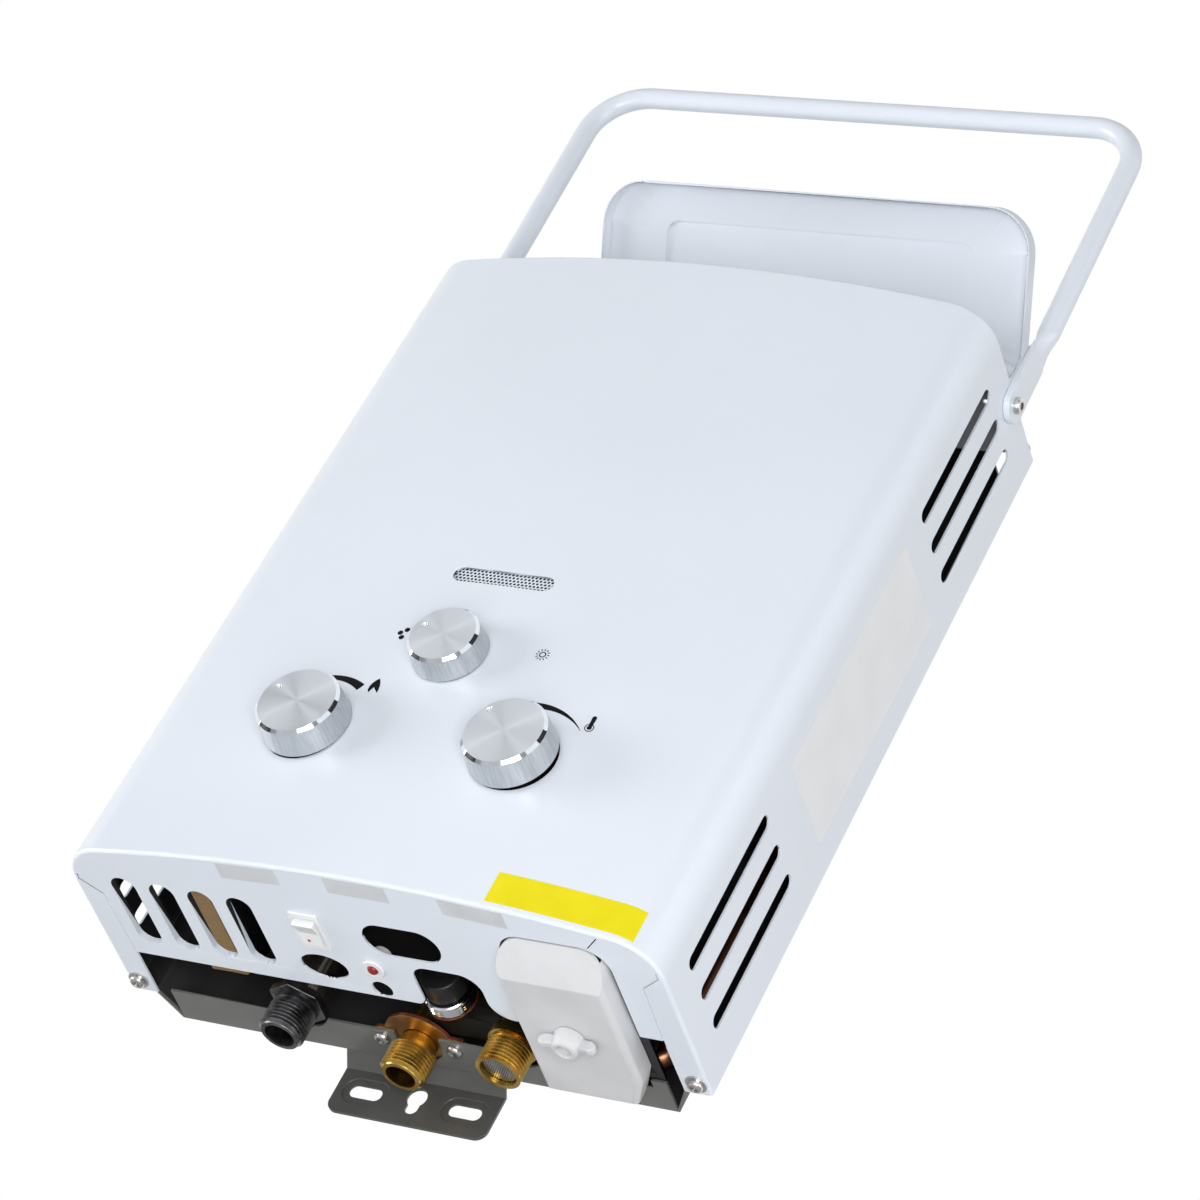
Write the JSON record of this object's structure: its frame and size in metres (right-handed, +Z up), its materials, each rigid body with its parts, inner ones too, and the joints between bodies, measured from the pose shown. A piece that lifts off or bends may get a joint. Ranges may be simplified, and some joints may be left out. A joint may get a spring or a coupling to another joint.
{
  "type": "portable propane water heater",
  "caption": "Portable propane instant water heater with crowned white cover, control knobs, carrying handle and rain cap.",
  "frame": {"origin": "on the wall plane, midway between the two slots of the lower wall bracket", "axes": "+Z up as it hangs, +Y into the wall, +X to the right seen from the front; the front faces -Y"},
  "size_m": [0.3048, 0.1468, 0.587],
  "materials": {
    "white_enamel": "gloss",
    "grey_enamel": "satin",
    "zinc_steel": "satin",
    "knob_metal": "brushed",
    "cast_aluminium": "matte",
    "brass": "satin",
    "copper": "satin",
    "dark_fitting": "satin",
    "chrome": "polished",
    "black_plastic": "matte",
    "white_plastic": "satin",
    "milky_plastic": "satin",
    "red_lens": "gloss",
    "black_rubber": "matte",
    "tan_board": "matte",
    "ceramic": "gloss",
    "cell_jacket": "gloss"
  },
  "bodies": {
    "heater": {"front_cover": "white_enamel", "rain_cap": "white_enamel", "rain_cap_bracket": "grey_enamel", "back_plate": "grey_enamel", "lower_wall_bracket": "grey_enamel", "upper_wall_bracket": "grey_enamel", "handle_screws": "zinc_steel", "handle_nuts": "zinc_steel", "cap_screws": "zinc_steel", "cover_screws": "zinc_steel", "flange_screws": "zinc_steel", "window_mesh": "zinc_steel", "gas_manifold": "cast_aluminium", "burner_frame": "zinc_steel", "burner_blades": "zinc_steel", "heat_exchanger_shell": "copper", "heat_exchanger_fins": "copper", "exhaust_hood": "zinc_steel", "cold_pipe": "copper", "heat_exchanger_pipe": "copper", "hot_pipe": "copper", "gas_inlet": "dark_fitting", "gas_valve_body": "cast_aluminium", "gas_solenoid": "black_plastic", "water_inlet": "brass", "inlet_filter": "zinc_steel", "water_valve_body": "brass", "valve_diaphragm": "black_rubber", "water_valve_cover": "brass", "drain_plug_body": "chrome", "water_outlet": "brass", "outlet_flange": "copper", "microswitch": "black_plastic", "switch_bracket": "zinc_steel", "ignition_box": "black_plastic", "ignition_board": "tan_board", "electrode_bracket": "zinc_steel", "ignition_electrodes": "ceramic", "overheat_thermostat": "black_plastic", "rocker_housing": "white_plastic", "lamp_holder": "white_plastic", "lamp_lens": "red_lens", "battery_box": "milky_plastic", "battery_cells": "cell_jacket", "box_contacts": "zinc_steel"},
    "handle": {"handle": "white_enamel"},
    "fire_control": {"fire_knob": "knob_metal", "fire_stem": "zinc_steel"},
    "water_control": {"water_knob": "knob_metal", "water_stem": "brass"},
    "season_control": {"season_knob": "knob_metal", "season_stem": "zinc_steel"},
    "rocker": {"rocker_button": "white_plastic"},
    "lid": {"battery_lid": "milky_plastic", "lid_contacts": "zinc_steel"},
    "wing_screw": {"lid_wing_screw": "milky_plastic"},
    "rod": {"push_rod": "zinc_steel"},
    "lever": {"microswitch_lever": "zinc_steel"},
    "drain_cap": {"drain_plug_cap": "black_plastic"}
  },
  "joints": [
    {"name": "handle_swing", "type": "hinge", "parent": "heater", "child": "handle", "pos_m": [0, -0.0664, 0.38625], "axis": [1, 0, 0], "range_deg": [-60, 58]},
    {"name": "fire_knob_turn", "type": "hinge", "parent": "heater", "child": "fire_control", "pos_m": [-0.0543, -0.13249, 0.093], "axis": [0, 1, 0], "range_deg": [0, 110]},
    {"name": "water_knob_turn", "type": "hinge", "parent": "heater", "child": "water_control", "pos_m": [0.0479, -0.13276, 0.093], "axis": [0, 1, 0], "range_deg": [0, 110]},
    {"name": "season_knob_turn", "type": "hinge", "parent": "heater", "child": "season_control", "pos_m": [-0.0064, -0.13327, 0.1415], "axis": [0, 1, 0], "range_deg": [0, 142]},
    {"name": "rocker_tilt", "type": "hinge", "parent": "heater", "child": "rocker", "pos_m": [-0.0267, -0.0923, 0.0168], "axis": [1, 0, 0], "range_deg": [-16, 0]},
    {"name": "battery_lid_drop", "type": "slide", "parent": "heater", "child": "lid", "axis": [0, 0, -1], "range_m": [0, 0.03]},
    {"name": "wing_screw_turn", "type": "hinge", "parent": "lid", "child": "wing_screw", "pos_m": [0.0949, -0.0635, 0.005], "axis": [0, 0, 1], "continuous": true},
    {"name": "push_rod_slide", "type": "slide", "parent": "heater", "child": "rod", "axis": [-1, 0, 0], "range_m": [0, 0.0025], "stiffness_N_per_m": 400, "springref_m": -0.001},
    {"name": "lever_swing", "type": "hinge", "parent": "heater", "child": "lever", "pos_m": [-0.007, -0.0655, 0.064], "axis": [0, -1, 0], "range_deg": [0, 13.8]},
    {"name": "drain_cap_turn", "type": "hinge", "parent": "heater", "child": "drain_cap", "pos_m": [0.0205, -0.0515, 0.027], "axis": [0, 1, 0], "continuous": true}
  ],
  "couplings": [
    {"joint": "lever_swing", "follows": "push_rod_slide", "rad_per_m": 96}
  ]
}
